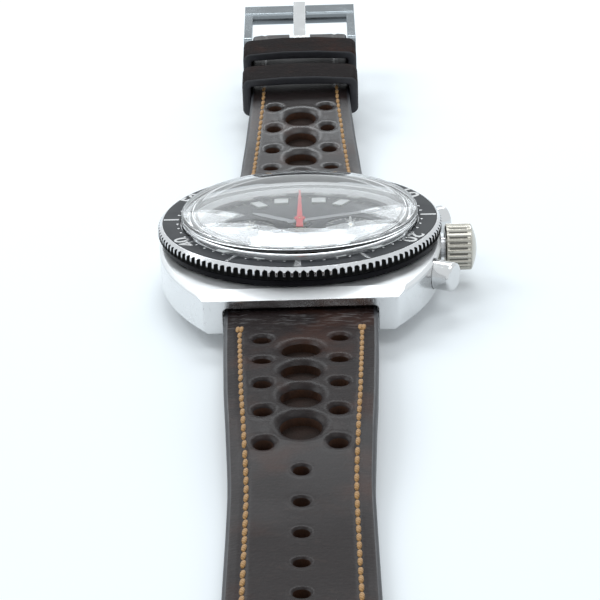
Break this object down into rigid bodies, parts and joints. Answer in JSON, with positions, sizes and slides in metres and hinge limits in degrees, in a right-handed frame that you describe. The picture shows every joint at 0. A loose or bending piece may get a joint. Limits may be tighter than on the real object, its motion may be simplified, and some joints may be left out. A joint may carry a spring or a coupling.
{
  "type": "chronograph wristwatch",
  "caption": "Round steel chronograph wristwatch with a turning coin-edge bezel, domed crystal, crown and pushers, on a perforated leather strap with keepers and a tongue buckle.",
  "frame": {"origin": "centre of the flat face of the case back, under the axis of the hands", "axes": "+Z out through the crystal, +X towards the crown at 3, +Y towards 12 and along the short strap half"},
  "size_m": [0.0438, 0.244, 0.0136],
  "materials": {
    "case_steel": "polished sides, satin deck",
    "polished_steel": "polished steel",
    "crown_steel": "warm worn steel",
    "plain_steel": "turned steel",
    "black_ring": "satin black",
    "insert_black": "gloss black with bare metal marks",
    "clear_acrylic": "clear, domed",
    "dial_black": "matt black",
    "marker_white": "white blocks",
    "hand_white": "white enamel",
    "hand_red": "red enamel",
    "movement_plate": "matt plated brass",
    "wheel_brass": "gilt brass",
    "blued_steel": "blued steel",
    "seal_rubber": "matt black",
    "upper_leather": "dark brown, waxed, tan stitching",
    "lining_leather": "brown, raw, smooth"
  },
  "bodies": {
    "case": {"mid_case": "case_steel", "case_back": "case_steel", "back_gasket": "seal_rubber", "friction_ring": "black_ring", "bezel_wire": "plain_steel", "crystal": "clear_acrylic", "crystal_ring": "polished_steel", "dial_flange": "dial_black", "dial": "dial_black", "hour_markers": "marker_white", "movement_ring": "movement_plate", "mainplate": "movement_plate", "barrel_bridge": "movement_plate", "train_bridge": "movement_plate", "balance_cock": "movement_plate", "chronograph_bridge": "plain_steel", "plate_screws": "blued_steel", "crown_tube": "plain_steel", "pusher_tubes": "plain_steel", "start_spring": "plain_steel", "reset_spring": "plain_steel", "spring_bars": "plain_steel"},
    "bezel": {"bezel_ring": "polished_steel", "bezel_insert": "insert_black"},
    "crown_seal": {"crown_gasket": "seal_rubber"},
    "crown": {"crown": "crown_steel", "winding_stem": "plain_steel"},
    "start_pusher": {"start_pusher": "polished_steel"},
    "reset_pusher": {"reset_pusher": "polished_steel"},
    "minute": {"minute_hand": "hand_white", "cannon_pinion": "plain_steel"},
    "minute_wheel": {"minute_wheel": "wheel_brass"},
    "hour": {"hour_hand": "hand_white", "hour_wheel": "wheel_brass"},
    "sweep": {"sweep_hand": "hand_red", "sweep_wheel": "wheel_brass"},
    "counter": {"counter_hand": "hand_white", "counter_wheel": "wheel_brass"},
    "seconds": {"seconds_hand": "hand_white", "fourth_wheel": "wheel_brass"},
    "third_wheel": {"third_wheel": "wheel_brass"},
    "centre_wheel": {"centre_wheel": "wheel_brass"},
    "barrel": {"barrel": "wheel_brass"},
    "escape_wheel": {"escape_wheel": "wheel_brass"},
    "pallet_fork": {"pallet_fork": "plain_steel"},
    "balance": {"balance_wheel": "wheel_brass", "hairspring": "blued_steel"},
    "ratchet_wheel": {"ratchet_wheel": "plain_steel"},
    "long_strap": {"long_upper": "upper_leather", "long_lining": "lining_leather"},
    "short_strap": {"short_upper": "upper_leather", "short_lining": "lining_leather", "fixed_keeper": "upper_leather", "buckle_bar": "plain_steel"},
    "free_keeper": {"free_keeper": "upper_leather"},
    "buckle_frame": {"buckle_frame": "polished_steel"},
    "buckle_tongue": {"buckle_tongue": "polished_steel"}
  },
  "joints": [
    {"name": "bezel_turn", "type": "hinge", "parent": "case", "child": "bezel", "pos_m": [0, 0, 0.0092], "axis": [0, 0, 1], "continuous": true},
    {"name": "crown_pull", "type": "slide", "parent": "case", "child": "crown_seal", "axis": [1, 0, 0], "range_m": [0, 0.0012]},
    {"name": "crown_turn", "type": "hinge", "parent": "crown_seal", "child": "crown", "pos_m": [0.022, 0, 0.0051], "axis": [1, 0, 0], "continuous": true},
    {"name": "start_press", "type": "slide", "parent": "case", "child": "start_pusher", "axis": [-0.8746, -0.4848, 0], "range_m": [0, 0.0008], "stiffness_N_per_m": 1500, "springref_m": -0.0005, "deforming": ["start_spring"]},
    {"name": "reset_press", "type": "slide", "parent": "case", "child": "reset_pusher", "axis": [-0.8746, 0.4848, 0], "range_m": [0, 0.0008], "stiffness_N_per_m": 1500, "springref_m": -0.0005, "deforming": ["reset_spring"]},
    {"name": "minute_turn", "type": "hinge", "parent": "case", "child": "minute", "pos_m": [0, 0, 0.0075], "axis": [0, 0, 1], "continuous": true},
    {"name": "minute_wheel_turn", "type": "hinge", "parent": "case", "child": "minute_wheel", "pos_m": [0, 0.0036, 0.007], "axis": [0, 0, 1], "continuous": true},
    {"name": "hour_turn", "type": "hinge", "parent": "case", "child": "hour", "pos_m": [0, 0, 0.0075], "axis": [0, 0, 1], "continuous": true},
    {"name": "sweep_turn", "type": "hinge", "parent": "case", "child": "sweep", "pos_m": [0, 0, 0.005], "axis": [0, 0, 1], "continuous": true},
    {"name": "counter_turn", "type": "hinge", "parent": "case", "child": "counter", "pos_m": [0.007, 0, 0.005], "axis": [0, 0, 1], "continuous": true},
    {"name": "seconds_turn", "type": "hinge", "parent": "case", "child": "seconds", "pos_m": [-0.007, 0, 0.005], "axis": [0, 0, 1], "continuous": true},
    {"name": "third_turn", "type": "hinge", "parent": "case", "child": "third_wheel", "pos_m": [-0.00366, 0.00262, 0.004], "axis": [0, 0, 1], "continuous": true},
    {"name": "centre_turn", "type": "hinge", "parent": "case", "child": "centre_wheel", "pos_m": [0, 0, 0.004], "axis": [0, 0, 1], "continuous": true},
    {"name": "barrel_turn", "type": "hinge", "parent": "case", "child": "barrel", "pos_m": [0.0035, -0.00363, 0.004], "axis": [0, 0, 1], "continuous": true},
    {"name": "escape_turn", "type": "hinge", "parent": "case", "child": "escape_wheel", "pos_m": [-0.0061, -0.00335, 0.004], "axis": [0, 0, 1], "continuous": true},
    {"name": "pallet_rock", "type": "hinge", "parent": "case", "child": "pallet_fork", "pos_m": [-0.00516, -0.0055, 0.004], "axis": [0, 0, 1], "range_deg": [-5, 5]},
    {"name": "balance_swing", "type": "hinge", "parent": "case", "child": "balance", "pos_m": [-0.0032, -0.01, 0.004], "axis": [0, 0, 1], "range_deg": [-270, 270]},
    {"name": "ratchet_turn", "type": "hinge", "parent": "case", "child": "ratchet_wheel", "pos_m": [0.0035, -0.00363, 0.003], "axis": [0, 0, 1], "continuous": true},
    {"name": "long_strap_hinge", "type": "hinge", "parent": "case", "child": "long_strap", "pos_m": [0, -0.0189, 0.0032], "axis": [1, 0, 0], "range_deg": [-4, 65]},
    {"name": "short_strap_hinge", "type": "hinge", "parent": "case", "child": "short_strap", "pos_m": [0, 0.0189, 0.0032], "axis": [1, 0, 0], "range_deg": [-65, 4]},
    {"name": "keeper_slide", "type": "slide", "parent": "short_strap", "child": "free_keeper", "axis": [0, 0.986, 0.1668], "range_m": [-0.002, 0.0038]},
    {"name": "buckle_hinge", "type": "hinge", "parent": "short_strap", "child": "buckle_frame", "pos_m": [0, 0.0919, 0.00912], "axis": [1, 0, 0], "range_deg": [-75, 30]},
    {"name": "tongue_hinge", "type": "hinge", "parent": "buckle_frame", "child": "buckle_tongue", "pos_m": [0, 0.0919, 0.00912], "axis": [1, 0, 0], "range_deg": [0, 90]}
  ],
  "couplings": [
    {"joint": "minute_wheel_turn", "follows": "minute_turn", "ratio": -0.33333},
    {"joint": "hour_turn", "follows": "minute_turn", "ratio": 0.083333},
    {"joint": "counter_turn", "follows": "sweep_turn", "ratio": 0.033333},
    {"joint": "third_turn", "follows": "seconds_turn", "ratio": -0.13333},
    {"joint": "centre_turn", "follows": "seconds_turn", "ratio": 0.016667},
    {"joint": "barrel_turn", "follows": "seconds_turn", "ratio": -0.0027778},
    {"joint": "escape_turn", "follows": "seconds_turn", "ratio": -10}
  ]
}
